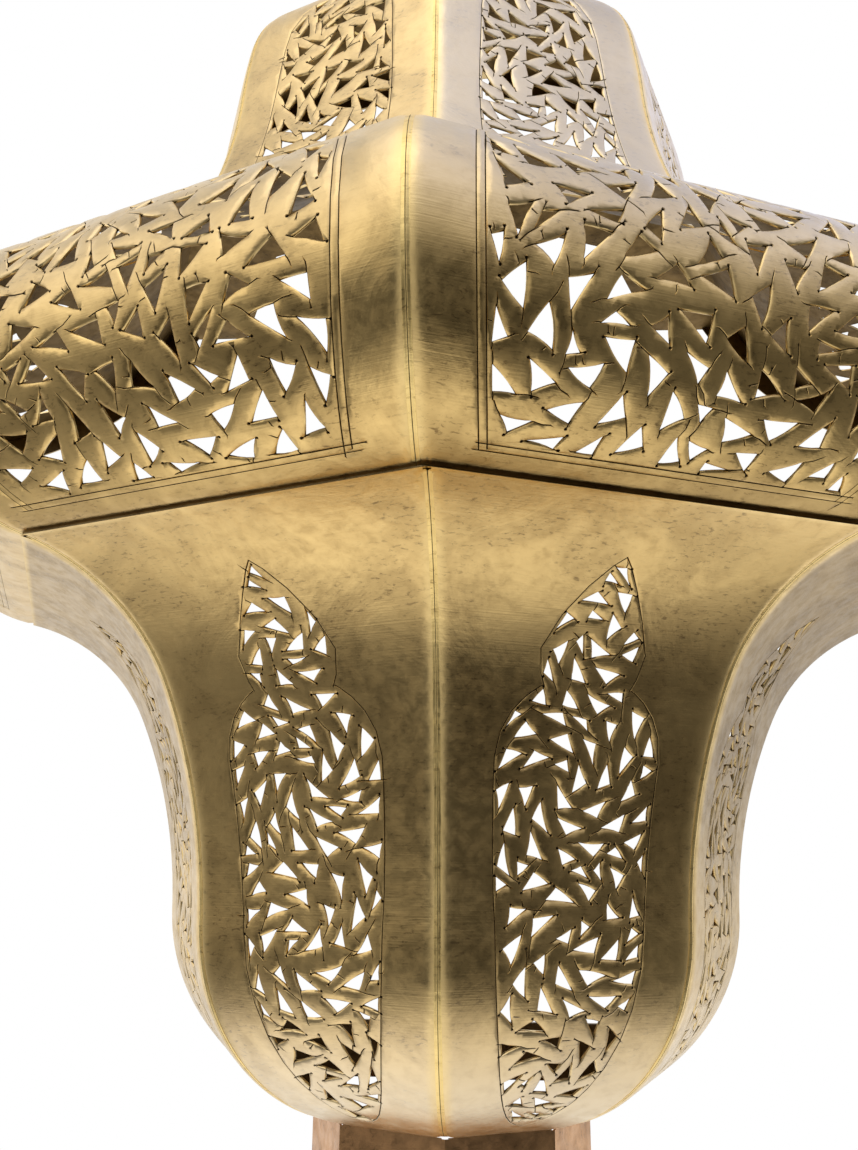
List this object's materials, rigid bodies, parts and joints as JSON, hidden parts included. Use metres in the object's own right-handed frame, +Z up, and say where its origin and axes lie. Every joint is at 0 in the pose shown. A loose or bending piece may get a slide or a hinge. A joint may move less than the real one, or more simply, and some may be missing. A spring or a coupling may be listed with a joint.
{
  "type": "lantern sconce",
  "caption": "Half-octagon wall lantern in pierced sheet brass with a flared roof, a tapering body and a tower, open at the back on a strap frame, round a screw-in candle bulb",
  "frame": {"origin": "on the wall plane, at the middle of the spine's back face, level with the rim where roof and body meet", "axes": "X runs to the right along the wall as seen from the room, Y runs into the wall so that the lantern stands out towards -Y, and Z is up"},
  "size_m": [0.4088, 0.2047, 0.5727],
  "materials": {
    "aged_brass": "aged sheet, hand rubbed, with darker tarnish and fine scratches",
    "seam_brass": "soldered and filed bright",
    "turned_brass": "turned, satin",
    "dark_brass": "dull, brown patina",
    "plated_steel": "nickel plated",
    "black_plastic": "moulded, satin black",
    "white_plastic": "moulded, off-white",
    "black_rubber": "moulded, matte",
    "cable_sheath": "smooth extruded sheath",
    "clear_glass": "clear, blown",
    "phosphor": "coated filament strips, matt yellow"
  },
  "bodies": {
    "lantern": {"body_panel_side_left": "aged_brass", "body_panel_front_left": "aged_brass", "body_panel_front_right": "aged_brass", "body_panel_side_right": "aged_brass", "roof_panel_side_left": "aged_brass", "roof_panel_front_left": "aged_brass", "roof_panel_front_right": "aged_brass", "roof_panel_side_right": "aged_brass", "tower_panel_side_left": "aged_brass", "tower_panel_front_left": "aged_brass", "tower_panel_front_right": "aged_brass", "tower_panel_side_right": "aged_brass", "body_seam_left": "seam_brass", "body_seam_front": "seam_brass", "body_seam_right": "seam_brass", "roof_seam_left": "seam_brass", "roof_seam_front": "seam_brass", "roof_seam_right": "seam_brass", "tower_seam_left": "seam_brass", "tower_seam_front": "seam_brass", "tower_seam_right": "seam_brass", "body_back_edge_left": "aged_brass", "body_back_edge_right": "aged_brass", "roof_back_edge_left": "aged_brass", "roof_back_edge_right": "aged_brass", "tower_back_edge_left": "aged_brass", "tower_back_edge_right": "aged_brass", "rim_plate": "aged_brass", "neck_plate": "aged_brass", "spine": "dark_brass", "lower_strap": "dark_brass", "cross_strap": "dark_brass", "upper_strap": "dark_brass", "strap_rivets": "seam_brass", "foot_collar": "aged_brass", "foot_dish": "aged_brass", "foot_plate": "aged_brass", "drop_finial": "turned_brass", "crown_plate": "aged_brass", "crown_neck": "aged_brass", "crown_dome": "aged_brass", "crown_cap": "aged_brass", "top_finial": "turned_brass", "lamp_bracket": "dark_brass", "bracket_screws": "plated_steel", "lock_nuts": "plated_steel", "holder_nipple": "plated_steel", "holder_cup": "black_plastic", "holder_sleeve": "black_plastic", "holder_insert": "black_plastic", "holder_contact": "turned_brass", "holder_thread": "turned_brass", "terminal_block": "white_plastic", "supply_grommet": "black_rubber", "lamp_lead": "cable_sheath"},
    "bulb_tip_contact": {"bulb_tip": "plated_steel"},
    "bulb": {"bulb_cap": "plated_steel", "bulb_glass": "clear_glass", "bulb_stem": "clear_glass", "bulb_filaments": "phosphor"}
  },
  "joints": [
    {"name": "bulb_lift", "type": "slide", "parent": "lantern", "child": "bulb_tip_contact", "axis": [0, 0, 1], "range_m": [0, 0.01411]},
    {"name": "bulb_turn", "type": "hinge", "parent": "bulb_tip_contact", "child": "bulb", "pos_m": [0, -0.06, 0.05], "axis": [0, 0, 1], "range_deg": [0, 1800]}
  ],
  "couplings": [
    {"joint": "bulb_lift", "follows": "bulb_turn", "m_per_rad": 0.00044882}
  ]
}
